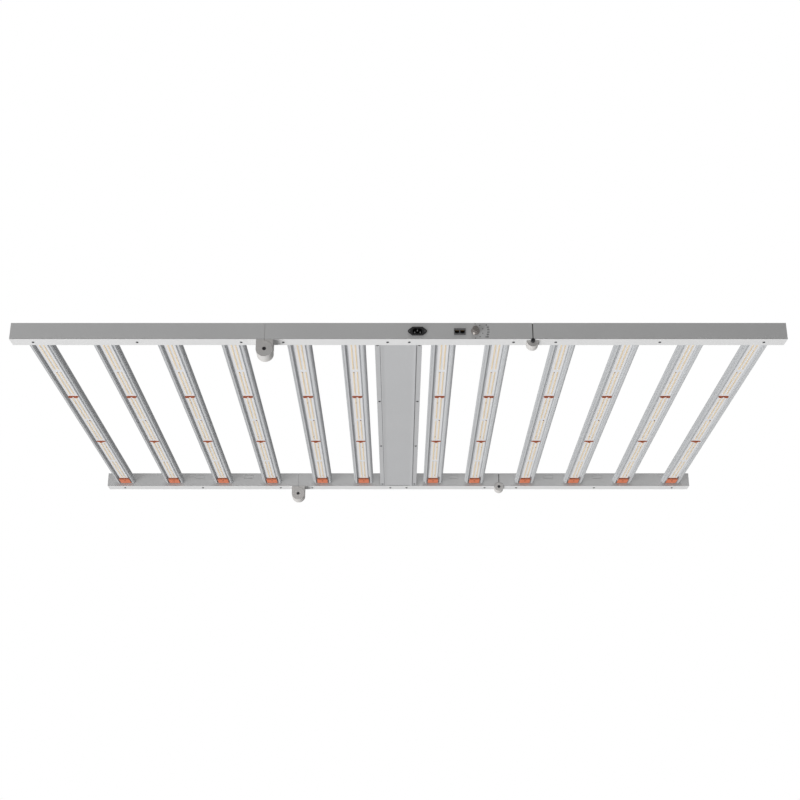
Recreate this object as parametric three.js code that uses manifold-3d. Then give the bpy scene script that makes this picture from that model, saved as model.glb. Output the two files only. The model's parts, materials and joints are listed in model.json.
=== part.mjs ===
// Folding LED grow light: two cross beams in three hinged sections, twelve light bars
// running between them, and a driver housing down the middle.
// Millimetres, +Z up, +X along the beams, -Y towards the side with the controls.
// The origin is the middle of the driver housing's top face, level with the tops of the beams.
import * as THREE from 'three';
import { mergeVertices } from 'three/addons/utils/BufferGeometryUtils.js';
import Module from 'manifold-3d';

const wasm = await Module();
wasm.setup();

// ---- driving dimensions ----
const WIDTH = 2000;              // along the beams, all three sections open
const DEPTH = 1256;              // outer face of one beam to outer face of the other
const BEAM_WIDE = 37.5;
const BEAM_HIGH = 46;
const WALL = 2;                  // sheet of the beams and of their bottom plates
const GAP = 0.3;                 // between pieces that touch

// the seam on each side: its middle, half of its gap, and the pivot below the underside of the beams
const LEFT_SEAM = { x: -344, half: 0.25, drop: 26, radius: 21.8, sides: 40 };
const RIGHT_SEAM = { x: 346, half: 1.3, drop: 1.5, radius: 15.4, sides: 32 };
const RING_CLEARANCE = 0.5;      // round a knuckle of the other leaf
const LEFT_RINGS = [[0, 12.2], [12.6, 24.9], [25.3, 37.5]];
const RIGHT_RINGS = [[8, 17.2], [17.6, 26.9], [27.3, 36.5]];
const LEAF_LONG = 44;            // of a leaf that lies inside its beam
const LEAF_HIGH = 18;
const LEAF_SPAN = [10, 34.5];
const BOLT = { shank: 3, head: 5, headHigh: 4, nut: 5, nutHigh: 4, socket: 2.9, socketDeep: 3 };
const BOLT_CLEARANCE = 0.3;
const SUNK_BOLT_AT = 1;          // heads of the right fold, inwards of the beam's outer face

const BAR_X = [936, 768, 600, 433, 260, 118.5];
const BAR_RISE = 10;             // lips of the bars above the underside of the beams
const BAR = {
  half: 32.5, lipOuter: 25.5, lipInner: 22.5, sideHigh: 11, tipHigh: 12.6, webTop: 9.6,
  floor: 6.9, seatHalf: 14.3, seatLip: 5.2, ribs: 6, ribDeep: 0.9,
};
const FINS = { at: [29, 20.5, 12, 4], thick: 1.6, shoulder: 12, dome: 12, reach: 33 };
const BOARD = { half: 14, thick: 1.6, endGap: 1.5 };

const HOUSING = { half: 61.5, wall: 1.5, lip: 13, high: 41.7 };
const COVER = {
  half: 61.5, sheet: 1.5, step: 47, ridge: 44, pan: 35, flangeRise: 2, panRise: 2, low: 0.5,
};
const DRIVER = { half: 44, high: 30, long: 430, at: 300, ribs: 7, ribDeep: 2.5 };

const PANEL_Z = -BEAM_HIGH / 2;  // height of the controls on the front beam
const INLET = {
  x: 49, drop: 1, flangeHalf: 25, flangeFlat: 13, flangeHigh: 12, flangeThick: 2.5,
  bodyHalf: 13.4, bodyHigh: 9.8, deep: 21, recessHalf: 12.1, recessHigh: 8.2, recessCorner: 3.5,
  recessDeep: 17, pinDeep: 12, pinWide: 1, pinTall: 2, pinSide: 7, pinBelow: 2.2, pinAbove: 2.2,
};
const PORTS = {
  x: 158, drop: 2, faceHalf: 15, faceHigh: 9.2, faceThick: 1.2, bodyHalf: 14, bodyHigh: 8.2, deep: 19,
  portSide: 7, portHalf: 5.8, portHigh: 4.2, portDeep: 14, latchHalf: 3.2, latchHigh: 1.6,
};
const KNOB = {
  x: 198, radius: 8.2, long: 17.5, standOff: 0.6, bore: 3.3, boreDeep: 13, flutes: 12,
  skirt: 11.2, skirtHigh: 6.5,
};
const SHAFT = { radius: 3, front: 12, back: 12 };
const POT = { radius: 8.5, deep: 9, bushRadius: 4.4, bushOut: 0.4, shaftGap: 0.3 };

const HATCH = { half: 17, high: 12, rise: 33, deep: 0.8, rear: [-684, -516, 189, 516, 684] };

// ---- derived places ----
const UNDER = -BEAM_HIGH;
const BAR_Z = UNDER + BAR_RISE;
const INNER = DEPTH / 2 - BEAM_WIDE;   // |Y| of the beams' inner faces
const SPAN = INNER - GAP;              // half length of what runs between the beams

// ---- finishes ----
const finish = (color, roughness, metalness) =>
  new THREE.MeshStandardMaterial({ color, roughness, metalness });
const BEAM_PAINT = finish(0xb4b5b7, 0.5, 0.2);
const BAR_ALLOY = finish(0xc4c7ca, 0.42, 0.6);
const BOARD_WHITE = finish(0xe2e2e4, 0.5, 0);
const SHEET_PAINT = finish(0xbcbdbf, 0.5, 0.2);
const DRIVER_CASE = finish(0x8b8d90, 0.45, 0.7);
const HINGE_ALLOY = finish(0xb1adaa, 0.45, 0.6);
const BOLT_STEEL = finish(0x5a5a5c, 0.35, 0.9);
const BLACK_PLASTIC = finish(0x1c1c1e, 0.45, 0);
const GREY_PLASTIC = finish(0x5f6062, 0.5, 0);
const KNOB_METAL = finish(0xc9cbce, 0.25, 0.9);

// ---- geometry helpers ----
function solid(geometry) {
  const bare = geometry.clone();
  bare.deleteAttribute('normal');
  bare.deleteAttribute('uv');
  const merged = mergeVertices(bare, 1e-4);
  return new wasm.Manifold(new wasm.Mesh({
    numProp: 3,
    vertProperties: Float32Array.from(merged.attributes.position.array),
    triVerts: Uint32Array.from(merged.index.array),
  }));
}

function geometryOf(manifold) {
  const mesh = manifold.getMesh();
  const geometry = new THREE.BufferGeometry();
  geometry.setAttribute('position', new THREE.BufferAttribute(mesh.vertProperties, 3));
  geometry.setIndex(new THREE.BufferAttribute(mesh.triVerts, 1));
  geometry.computeVertexNormals();
  return geometry;
}

const join = (first, ...others) =>
  geometryOf(others.reduce((sum, next) => sum.add(solid(next)), solid(first)));

const cut = (base, ...tools) =>
  geometryOf(tools.reduce((rest, tool) => rest.subtract(solid(tool)), solid(base)));

function box([x0, x1], [y0, y1], [z0, z1]) {
  const geometry = new THREE.BoxGeometry(x1 - x0, y1 - y0, z1 - z0);
  return geometry.translate((x0 + x1) / 2, (y0 + y1) / 2, (z0 + z1) / 2);
}

function rodY(x, z, radius, [y0, y1], sides) {
  const geometry = new THREE.CylinderGeometry(radius, radius, y1 - y0, sides);
  return geometry.translate(x, (y0 + y1) / 2, z);
}

function rodZ(x, y, radius, [z0, z1], sides) {
  const geometry = new THREE.CylinderGeometry(radius, radius, z1 - z0, sides);
  return geometry.rotateX(Math.PI / 2).translate(x, y, (z0 + z1) / 2);
}

// An outline of [x, z] points swept along Y.
function sweepY(points, [y0, y1]) {
  const shape = new THREE.Shape(points.map(([x, z]) => new THREE.Vector2(x, z)));
  const geometry = new THREE.ExtrudeGeometry(shape, { depth: y1 - y0, bevelEnabled: false });
  return geometry.rotateX(Math.PI / 2).translate(0, y1, 0);
}

// Half an outline, from the middle outwards and back, completed with its mirror image.
const mirrored = (half) => [...half, ...half.map(([x, z]) => [-x, z]).reverse()];

// Pieces of a beam are built with y = 0 on the beam's outer face and y rising inwards.
// The front beam only slides into place; the rear one is its mirror image.
function onSide(geometry, side) {
  if (side === 'front') {
    return geometry.translate(0, -DEPTH / 2, 0);
  }
  const turned = geometry.index ? geometry : mergeVertices(geometry);
  turned.scale(1, -1, 1).translate(0, DEPTH / 2, 0);
  const corners = turned.index.array;
  for (let i = 0; i < corners.length; i += 3) {
    [corners[i], corners[i + 1]] = [corners[i + 1], corners[i]];
  }
  turned.computeVertexNormals();
  return turned;
}

const light = new THREE.Group();

function add(name, geometry, material) {
  const mesh = new THREE.Mesh(geometry, material);
  mesh.name = name;
  light.add(mesh);
}

// ---- beams ----
const SECTIONS = {
  left: [-WIDTH / 2, LEFT_SEAM.x - LEFT_SEAM.half],
  centre: [LEFT_SEAM.x + LEFT_SEAM.half, RIGHT_SEAM.x - RIGHT_SEAM.half],
  right: [RIGHT_SEAM.x + RIGHT_SEAM.half, WIDTH / 2],
};
const WIRE_HOLE = { radius: 5, z: UNDER + 33, sides: 12 };

// Room for the half-sunk knuckles of the right fold.
const knuckleRoom = () => rodY(RIGHT_SEAM.x, UNDER - RIGHT_SEAM.drop, RIGHT_SEAM.radius + RING_CLEARANCE,
  [RIGHT_RINGS[0][0] - RING_CLEARANCE, BEAM_WIDE + 1], RIGHT_SEAM.sides);

// Notch in the outer face for the bolt's head at the right fold.
const boltNotch = () => rodY(RIGHT_SEAM.x, UNDER - RIGHT_SEAM.drop, BOLT.head + RING_CLEARANCE,
  [-1, RIGHT_RINGS[0][0]], 24);

// Slot through the end walls at the right fold, which the leaves pass through.
const leafRoom = () => box([RIGHT_SEAM.x - 6, RIGHT_SEAM.x + 6], [LEAF_SPAN[0] - 0.5, LEAF_SPAN[1] + 0.5],
  [UNDER - 1, UNDER + WALL + GAP + LEAF_HIGH + 0.5]);

function hatchRecess(x) {
  const z = UNDER + HATCH.rise;
  const r = HATCH.high / 2;
  const outline = [];
  for (const [side, start] of [[1, -Math.PI / 2], [-1, Math.PI / 2]]) {
    for (let i = 0; i <= 6; i += 1) {
      const angle = start + (Math.PI * i) / 6;
      outline.push([x + side * (HATCH.half - r) + r * Math.cos(angle), z + r * Math.sin(angle)]);
    }
  }
  return sweepY(outline, [BEAM_WIDE - HATCH.deep, BEAM_WIDE + 1]);
}

function wallHole({ x, drop, bodyHalf, bodyHigh }) {
  const z = PANEL_Z - drop;
  return box([x - bodyHalf - GAP, x + bodyHalf + GAP], [-1, WALL + 1],
    [z - bodyHigh - GAP, z + bodyHigh + GAP]);
}

const dimmerHole = () => rodY(KNOB.x, PANEL_Z, POT.bushRadius + GAP, [-1, WALL + 1], 16);

// A channel open at the bottom, with a wall at each end and a wire hole in the walls at the folds.
function beam(side, section) {
  const [x0, x1] = SECTIONS[section];
  const tools = [box([x0 + WALL, x1 - WALL], [WALL, BEAM_WIDE - WALL], [UNDER - 1, -WALL])];
  for (const x of [x0, x1]) {
    if (Math.abs(x) < WIDTH / 2) {
      const hole = new THREE.CylinderGeometry(WIRE_HOLE.radius, WIRE_HOLE.radius, 3 * WALL, WIRE_HOLE.sides);
      tools.push(hole.rotateZ(Math.PI / 2).translate(x, BEAM_WIDE / 2, WIRE_HOLE.z));
    }
  }
  if (section !== 'left') {
    tools.push(knuckleRoom(), leafRoom(), boltNotch());
  }
  if (side === 'rear') {
    tools.push(...HATCH.rear.filter((x) => x > x0 && x < x1).map(hatchRecess));
  }
  if (side === 'front' && section === 'centre') {
    tools.push(wallHole(INLET), wallHole(PORTS), dimmerHole());
  }
  const body = box([x0, x1], [0, BEAM_WIDE], [UNDER + WALL + GAP, 0]);
  return onSide(cut(body, ...tools), side);
}

function bottomPlate(side, section) {
  const [x0, x1] = SECTIONS[section];
  const plate = box([x0, x1], [0, BEAM_WIDE], [UNDER, UNDER + WALL]);
  const shaped = section === 'left' ? plate : cut(plate, knuckleRoom(), boltNotch());
  return onSide(shaped, side);
}

for (const side of ['front', 'rear']) {
  for (const section of ['left', 'centre', 'right']) {
    add(`${side}_beam_${section}`, beam(side, section), BEAM_PAINT);
    add(`${side}_bottom_plate_${section}`, bottomPlate(side, section), BEAM_PAINT);
  }
}

// ---- light bars ----
function barOutline() {
  const half = [[BAR.seatHalf, BAR.floor], [BAR.seatHalf, BAR.seatLip], [BAR.lipInner, 0.4]];
  half.push([BAR.lipInner, 0], [BAR.lipOuter, 0]);
  const bulge = BAR.half - BAR.lipOuter;
  for (let i = 1; i <= 2 * BAR.ribs; i += 1) {
    const angle = (Math.PI / 2) * (i / (2 * BAR.ribs));
    const sunk = i % 2 ? BAR.ribDeep : 0;
    half.push([
      BAR.lipOuter + (bulge - sunk) * Math.sin(angle),
      BAR.sideHigh - (BAR.sideHigh - sunk) * Math.cos(angle),
    ]);
  }
  half.push([BAR.half, BAR.tipHigh], [FINS.at[0] + FINS.thick / 2, BAR.tipHigh]);
  for (const x of FINS.at) {
    const top = FINS.shoulder + FINS.dome * Math.sqrt(1 - (x / FINS.reach) ** 2);
    const [outer, inner] = [x + FINS.thick / 2, x - FINS.thick / 2];
    const foot = x === FINS.at[0] ? [] : [[outer, BAR.webTop]];
    half.push(...foot, [outer, top], [inner, top], [inner, BAR.webTop]);
  }
  return mirrored(half);
}

const BAR_CENTRES = [...BAR_X.map((x) => -x), ...BAR_X.slice().reverse()];
const BAR_OUTLINE = barOutline();

BAR_CENTRES.forEach((x, i) => {
  const number = String(i + 1).padStart(2, '0');
  const bar = sweepY(BAR_OUTLINE, [-SPAN, SPAN]).translate(x, 0, BAR_Z);
  add(`light_bar_${number}`, bar, BAR_ALLOY);
  const underBoard = BAR_Z + BAR.floor - GAP - BOARD.thick;
  const board = box([x - BOARD.half, x + BOARD.half], [BOARD.endGap - SPAN, SPAN - BOARD.endGap],
    [underBoard, underBoard + BOARD.thick]);
  add(`led_board_${number}`, board, BOARD_WHITE);
});

// ---- driver housing ----
function housing() {
  const { half, wall, lip, high } = HOUSING;
  const room = box([wall - half, half - wall], [wall - SPAN, SPAN - wall], [wall - high, -wall]);
  const mouth = box([lip - half, half - lip], [wall - SPAN, SPAN - wall], [-high - 1, wall - high + 1]);
  return cut(box([-half, half], [-SPAN, SPAN], [-high, 0]), room, mouth);
}

function coverOutline() {
  const { half, sheet, step, ridge, pan, flangeRise, panRise, low } = COVER;
  const flange = low + flangeRise;
  const under = [[pan, panRise + low], [ridge, low], [step, low], [step, flange], [half, flange]];
  const over = [[half, flange + sheet], [step - sheet, flange + sheet], [ridge, low + sheet],
    [pan, panRise + low + sheet]];
  return mirrored([...under, ...over]).map(([x, z]) => [x, z + UNDER]);
}

function driverOutline() {
  const { half, high, ribs, ribDeep } = DRIVER;
  const outline = [[half, -high], [half, 0]];
  const pitch = (2 * half) / (2 * ribs + 1);
  for (let i = 1; i <= 2 * ribs; i += 1) {
    const x = half - i * pitch;
    const [from, to] = i % 2 ? [0, -ribDeep] : [-ribDeep, 0];
    outline.push([x, from], [x, to]);
  }
  return [...outline, [-half, 0], [-half, -high]];
}

add('driver_housing', housing(), SHEET_PAINT);
add('driver_cover', sweepY(coverOutline(), [-SPAN, SPAN]), SHEET_PAINT);
for (const [name, y] of [['led_driver_front', -DRIVER.at], ['led_driver_rear', DRIVER.at]]) {
  const case_ = sweepY(driverOutline(), [y - DRIVER.long / 2, y + DRIVER.long / 2]);
  add(name, case_.translate(0, 0, -HOUSING.wall - GAP), DRIVER_CASE);
}

// ---- hinges ----
// A leaf: its block, cut clear of the other leaf's knuckles, with its own knuckles joined on.
function leaf(seam, x, rings, own, block, bore) {
  const z = UNDER - seam.drop;
  const rod = (radius, span) => rodY(x, z, radius, span, seam.sides);
  const rest = rings.filter((ring) => !own.includes(ring));
  const clearances = rest.map(([y0, y1]) =>
    rod(seam.radius + RING_CLEARANCE, [y0 - GAP / 2 - 0.05, y1 + GAP / 2 + 0.05]));
  const bare = cut(block, ...clearances);
  const knuckles = own.map((ring) => rod(seam.radius, ring));
  return cut(join(bare, ...knuckles), ...bore);
}

function boltRoom(x, z, [y0, y1]) {
  const shank = rodY(x, z, BOLT.shank + BOLT_CLEARANCE, [y0 - 1, y1 + 1], 16);
  const head = rodY(x, z, BOLT.head + BOLT_CLEARANCE, [y0 - 1, y0 + BOLT.headHigh + GAP], 20);
  const nut = rodY(x, z, BOLT.nut + BOLT_CLEARANCE, [y1 - BOLT.nutHigh - GAP, y1 + 1], 20);
  return [shank, head, nut];
}

// A bolt through a hinge, its head's face at y = out.
function bolt(x, z, [y0, y1], out) {
  const parts = [
    rodY(x, z, BOLT.shank, [y0 + 1, y1 - 1], 16),
    rodY(x, z, BOLT.head, [out, y0 + BOLT.headHigh], 20),
    rodY(x, z, BOLT.nut, [y1 - BOLT.nutHigh, y1 - 0.4], 6),
  ];
  const socket = rodY(x, z, BOLT.socket, [out - 1, out + BOLT.socketDeep], 6);
  return cut(join(...parts), socket);
}

function leftHinge(side) {
  const [x, z] = [LEFT_SEAM.x, UNDER - LEFT_SEAM.drop];
  const span = [LEFT_RINGS[0][0], LEFT_RINGS[2][1]];
  const [top, low] = [UNDER - GAP, z + 0.5];
  const wingBlock = box([x - LEFT_SEAM.radius, x - LEFT_SEAM.half], span, [low, top]);
  const centreBlock = box([x + LEFT_SEAM.half, x + LEFT_SEAM.radius], span, [low, top]);
  const wingRings = [LEFT_RINGS[0], LEFT_RINGS[2]];
  const make = (own, block) => leaf(LEFT_SEAM, x, LEFT_RINGS, own, block, boltRoom(x, z, span));
  add(`${side}_left_hinge_wing_leaf`, onSide(make(wingRings, wingBlock), side), HINGE_ALLOY);
  add(`${side}_left_hinge_centre_leaf`, onSide(make([LEFT_RINGS[1]], centreBlock), side), HINGE_ALLOY);
  add(`${side}_left_hinge_bolt`, onSide(bolt(x, z, span, span[0] + 0.4), side), BOLT_STEEL);
}

function rightHinge(side) {
  const [x, z] = [RIGHT_SEAM.x, UNDER - RIGHT_SEAM.drop];
  const span = [RIGHT_RINGS[0][0], RIGHT_RINGS[2][1]];
  const low = UNDER + WALL + GAP;
  const heights = [low, low + LEAF_HIGH];
  const wingBlock = box([x + RIGHT_SEAM.half, x + LEAF_LONG], LEAF_SPAN, heights);
  const centreBlock = box([x - LEAF_LONG, x - RIGHT_SEAM.half], LEAF_SPAN, heights);
  const wingRings = [RIGHT_RINGS[0], RIGHT_RINGS[2]];
  const make = (own, block) => leaf(RIGHT_SEAM, x, RIGHT_RINGS, own, block, boltRoom(x, z, span));
  add(`${side}_right_hinge_wing_leaf`, onSide(make(wingRings, wingBlock), side), HINGE_ALLOY);
  add(`${side}_right_hinge_centre_leaf`, onSide(make([RIGHT_RINGS[1]], centreBlock), side), HINGE_ALLOY);
  add(`${side}_right_hinge_bolt`, onSide(bolt(x, z, span, SUNK_BOLT_AT), side), BOLT_STEEL);
}

for (const side of ['front', 'rear']) {
  leftHinge(side);
  rightHinge(side);
}

// ---- controls on the front beam ----
function powerInlet() {
  const p = INLET;
  const flange = [[p.flangeHalf, 0], [p.flangeHalf - 2, 4], [p.flangeFlat, p.flangeHigh],
    [-p.flangeFlat, p.flangeHigh], [2 - p.flangeHalf, 4], [-p.flangeHalf, 0], [2 - p.flangeHalf, -4],
    [-p.flangeFlat, -p.flangeHigh], [p.flangeFlat, -p.flangeHigh], [p.flangeHalf - 2, -4]];
  const [w, h, c] = [p.recessHalf, p.recessHigh, p.recessCorner];
  const recess = [[w, -h], [w, h - c], [w - c, h], [c - w, h], [-w, h - c], [-w, -h]];
  const front = -p.flangeThick - GAP;
  const body = join(
    sweepY(flange, [front, -GAP]),
    box([-p.bodyHalf, p.bodyHalf], [-GAP - 1, p.deep], [-p.bodyHigh, p.bodyHigh]),
  );
  const shell = cut(body, sweepY(recess, [front - 1, front + p.recessDeep]));
  const pin = (x, z) => box([x - p.pinWide, x + p.pinWide],
    [front + p.recessDeep - p.pinDeep, front + p.recessDeep + 1], [z - p.pinTall, z + p.pinTall]);
  const pins = [pin(0, p.pinAbove + 1), pin(-p.pinSide, -p.pinBelow), pin(p.pinSide, -p.pinBelow)];
  return join(shell, ...pins).translate(p.x, 0, PANEL_Z - p.drop);
}

function dimmingPorts() {
  const p = PORTS;
  const front = -p.faceThick - GAP;
  const body = join(
    box([-p.faceHalf, p.faceHalf], [front, -GAP], [-p.faceHigh, p.faceHigh]),
    box([-p.bodyHalf, p.bodyHalf], [-GAP - 1, p.deep], [-p.bodyHigh, p.bodyHigh]),
  );
  const tools = [];
  for (const x of [-p.portSide, p.portSide]) {
    const span = [front - 1, front + p.portDeep];
    tools.push(box([x - p.portHalf, x + p.portHalf], span, [-p.portHigh, p.portHigh]));
    tools.push(box([x - p.latchHalf, x + p.latchHalf], span, [-p.portHigh - p.latchHigh, 0]));
  }
  return cut(body, ...tools).translate(p.x, 0, PANEL_Z - p.drop);
}

function dimmerKnob() {
  const front = -KNOB.standOff - KNOB.long;
  const outline = [];
  for (let i = 0; i < 2 * KNOB.flutes; i += 1) {
    const angle = (Math.PI * i) / KNOB.flutes;
    const radius = KNOB.radius - (i % 2) * 0.7;
    outline.push([radius * Math.cos(angle), radius * Math.sin(angle)]);
  }
  const skirt = new THREE.CylinderGeometry(KNOB.skirt, KNOB.radius, KNOB.skirtHigh, 32);
  const body = join(
    skirt.translate(0, -KNOB.standOff - KNOB.skirtHigh / 2, 0),
    sweepY(outline, [front + 1.2, -KNOB.standOff]),
    rodY(0, 0, KNOB.radius - 1.2, [front, front + 2], 24),
  );
  const bore = rodY(0, 0, KNOB.bore, [-KNOB.standOff - KNOB.boreDeep, 1], 16);
  return cut(body, bore).translate(KNOB.x, 0, PANEL_Z);
}

function potentiometer() {
  const body = join(
    rodY(0, 0, POT.radius, [WALL + GAP, WALL + GAP + POT.deep], 24),
    rodY(0, 0, POT.bushRadius, [-POT.bushOut, WALL + GAP + 1], 16),
  );
  const bore = rodY(0, 0, SHAFT.radius + POT.shaftGap, [-2, SHAFT.back + 1], 16);
  return cut(body, bore).translate(KNOB.x, 0, PANEL_Z);
}

const dimmerShaft = () => rodY(KNOB.x, PANEL_Z, SHAFT.radius, [-SHAFT.front, SHAFT.back], 12);

add('power_inlet', onSide(powerInlet(), 'front'), BLACK_PLASTIC);
add('dimming_ports', onSide(dimmingPorts(), 'front'), GREY_PLASTIC);
add('dimmer_potentiometer', onSide(potentiometer(), 'front'), GREY_PLASTIC);
add('dimmer_shaft', onSide(dimmerShaft(), 'front'), KNOB_METAL);
add('dimmer_knob', onSide(dimmerKnob(), 'front'), KNOB_METAL);

export default light;
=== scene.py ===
"""Looks of a folding LED grow light: rounded metalwork, LED boards, clips, screws and the dimmer scale.

Every piece is in metres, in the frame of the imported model, and rides on one of its bodies.
"""
import json
from math import cos, pi, radians, sin, sqrt

import bmesh
import bpy
from mathutils import Matrix, Vector


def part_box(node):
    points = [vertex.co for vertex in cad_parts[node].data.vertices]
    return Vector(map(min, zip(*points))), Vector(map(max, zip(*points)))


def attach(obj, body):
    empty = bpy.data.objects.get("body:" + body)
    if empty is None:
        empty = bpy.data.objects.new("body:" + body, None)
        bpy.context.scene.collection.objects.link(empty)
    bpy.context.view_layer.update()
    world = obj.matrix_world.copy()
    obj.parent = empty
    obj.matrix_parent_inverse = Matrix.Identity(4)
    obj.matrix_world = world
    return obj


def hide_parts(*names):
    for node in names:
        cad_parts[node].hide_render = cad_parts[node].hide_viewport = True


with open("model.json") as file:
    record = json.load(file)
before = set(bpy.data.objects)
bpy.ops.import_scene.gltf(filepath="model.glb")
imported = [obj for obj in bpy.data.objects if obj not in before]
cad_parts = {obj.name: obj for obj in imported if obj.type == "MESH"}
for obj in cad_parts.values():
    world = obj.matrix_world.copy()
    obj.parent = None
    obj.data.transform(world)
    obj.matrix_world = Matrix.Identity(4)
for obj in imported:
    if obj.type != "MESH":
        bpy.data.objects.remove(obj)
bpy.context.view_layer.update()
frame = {"nodes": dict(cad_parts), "record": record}

bl_info = {
    "name": "Folding grow light",
    "version": (1, 0, 0),
    "blender": (4, 5, 0),
    "location": "View3D > Sidebar > Grow Light",
    "description": "Finishes and small parts of a folding LED grow light",
    "category": "Object",
}

BODY_OF = {n: b for b, nodes in frame["record"]["behaviour"]["bodies"].items() for n in nodes}
BARS = sorted(n for n in frame["nodes"] if n.startswith("light_bar"))
BOARDS = [n.replace("light_bar", "led_board") for n in BARS]
LIT_BODIES = ("centre_section", "left_wing", "right_wing")
PLUGS = {"left": (-0.684, -0.516), "centre": (0.189,), "right": (0.516, 0.684)}  # x of each plug


# ---------------------------------------------------------------- sizes and colours


class GrowLightPaint(bpy.types.PropertyGroup):
    """Colours of the light's own surfaces."""

    beam: bpy.props.FloatVectorProperty(
        name="Beam paint", description="Powder coat of the cross beams",
        default=(0.6, 0.6, 0.6), size=3, subtype="COLOR", min=0, max=1)
    sheet: bpy.props.FloatVectorProperty(
        name="Housing paint", description="Powder coat of the driver housing and its cover",
        default=(0.4, 0.403, 0.41), size=3, subtype="COLOR", min=0, max=1)
    alloy: bpy.props.FloatVectorProperty(
        name="Bar alloy", description="Anodised extrusion of the light bars",
        default=(0.56, 0.57, 0.58), size=3, subtype="COLOR", min=0, max=1)
    board: bpy.props.FloatVectorProperty(
        name="Board white", description="Solder mask of the LED boards",
        default=(0.62, 0.62, 0.63), size=3, subtype="COLOR", min=0, max=1)
    phosphor: bpy.props.FloatVectorProperty(
        name="LED phosphor", description="Warm face of an unlit white LED",
        default=(0.84, 0.62, 0.32), size=3, subtype="COLOR", min=0, max=1)
    # the clips and the end covers' lips use a darker copy of this orange as painted shade
    clip: bpy.props.FloatVectorProperty(
        name="Clip orange", description="Plastic of the board clips and end covers",
        default=(0.56, 0.16, 0.075), size=3, subtype="COLOR", min=0, max=1)


class GrowLightLeds(bpy.types.PropertyGroup):
    """Layout of the LEDs and of what holds the boards."""

    board_long: bpy.props.FloatProperty(
        name="Board length", description="One of the three boards of a bar",
        default=0.377, min=0.1, max=0.39, unit="LENGTH")
    per_group: bpy.props.IntProperty(
        name="LEDs per group", description="LEDs in one group of a row, two groups to a board",
        default=28, min=2, max=60)
    pitch: bpy.props.FloatProperty(
        name="LED pitch", description="From one LED of a row to the next",
        default=0.0059, min=0.004, max=0.03, unit="LENGTH")
    row: bpy.props.FloatProperty(
        name="Row offset", description="From the middle of a board to each row of LEDs",
        default=0.0052, min=0.003, max=0.01, unit="LENGTH")
    middle_gap: bpy.props.FloatProperty(
        name="Middle gap", description="Bare board between the two groups of a row",
        default=0.022, min=0.0, max=0.05, unit="LENGTH")
    chip: bpy.props.FloatVectorProperty(
        name="LED size", description="Width, length and height of one LED package",
        default=(0.0045, 0.0037, 0.0008), size=3, subtype="XYZ", unit="LENGTH")
    front_joint: bpy.props.FloatProperty(
        name="Front joint", description="Y of the joint between the front and the middle board",
        default=-0.198, min=-0.4, max=0, unit="LENGTH")
    rear_joint: bpy.props.FloatProperty(
        name="Rear joint", description="Y of the joint between the middle and the rear board",
        default=0.179, min=0, max=0.4, unit="LENGTH")
    clip_size: bpy.props.FloatVectorProperty(
        name="Clip size", description="Width, length and height of a clip",
        default=(0.03, 0.0022, 0.0056), size=3, subtype="XYZ", unit="LENGTH")
    cover_size: bpy.props.FloatVectorProperty(
        name="End cover size", description="Width, length and height of a bar's end cover",
        default=(0.036, 0.0385, 0.0048), size=3, subtype="XYZ", unit="LENGTH")


class GrowLightBars(bpy.types.PropertyGroup):
    """Cross section of a light bar, z upwards from its lips."""

    half: bpy.props.FloatProperty(
        name="Half width", description="From the middle of a bar to its outermost ribs",
        default=0.0325, min=0.03, max=0.0325, unit="LENGTH")
    lip_outer: bpy.props.FloatProperty(
        name="Lip, outer edge", description="From the middle of a bar to the outside of a lip",
        default=0.0255, min=0.023, max=0.03, unit="LENGTH")
    lip_inner: bpy.props.FloatProperty(
        name="Lip, inner edge", description="From the middle of a bar to the inside of a lip",
        default=0.0225, min=0.02, max=0.025, unit="LENGTH")
    groove: bpy.props.FloatProperty(
        name="Groove depth", description="From the lips up to the bottom of the grooves beside the board",
        default=0.0094, min=0.006, max=0.0105, unit="LENGTH")
    side_high: bpy.props.FloatProperty(
        name="Ribbed height", description="Height of the ribbed curve of each side",
        default=0.0115, min=0.008, max=0.0125, unit="LENGTH")
    ribs: bpy.props.IntProperty(
        name="Ribs", description="Ribs on the curve of each side", default=4, min=2, max=12)
    rib_deep: bpy.props.FloatProperty(
        name="Rib depth", description="Depth of the grooves between ribs",
        default=0.0022, min=0.0003, max=0.003, unit="LENGTH")
    fins: bpy.props.IntProperty(
        name="Fins", description="Cooling fins on each half of a bar's top", default=5, min=2, max=8)


class GrowLightHardware(bpy.types.PropertyGroup):
    """Screws, hinge details and the dimmer scale."""

    screw_radius: bpy.props.FloatProperty(
        name="Screw head radius", description="Head of the screws of the plates and the cover",
        default=0.0036, min=0.001, max=0.006, unit="LENGTH")
    screw_high: bpy.props.FloatProperty(
        name="Screw head height", description="How far a screw head stands out",
        default=0.0019, min=0.0005, max=0.004, unit="LENGTH")
    dial_radius: bpy.props.FloatProperty(
        name="Scale radius", description="From the knob's axis to the marks of the dimmer scale",
        default=0.02, min=0.009, max=0.022, unit="LENGTH")
    dial_text: bpy.props.FloatProperty(
        name="Figure height", description="Height of the figures on the dimmer scale",
        default=0.0058, min=0.002, max=0.008, unit="LENGTH")
    edge: bpy.props.FloatProperty(
        name="Edge radius", description="Rounding of the folded and machined edges",
        default=0.0008, min=0.0001, max=0.002, unit="LENGTH")


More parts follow.
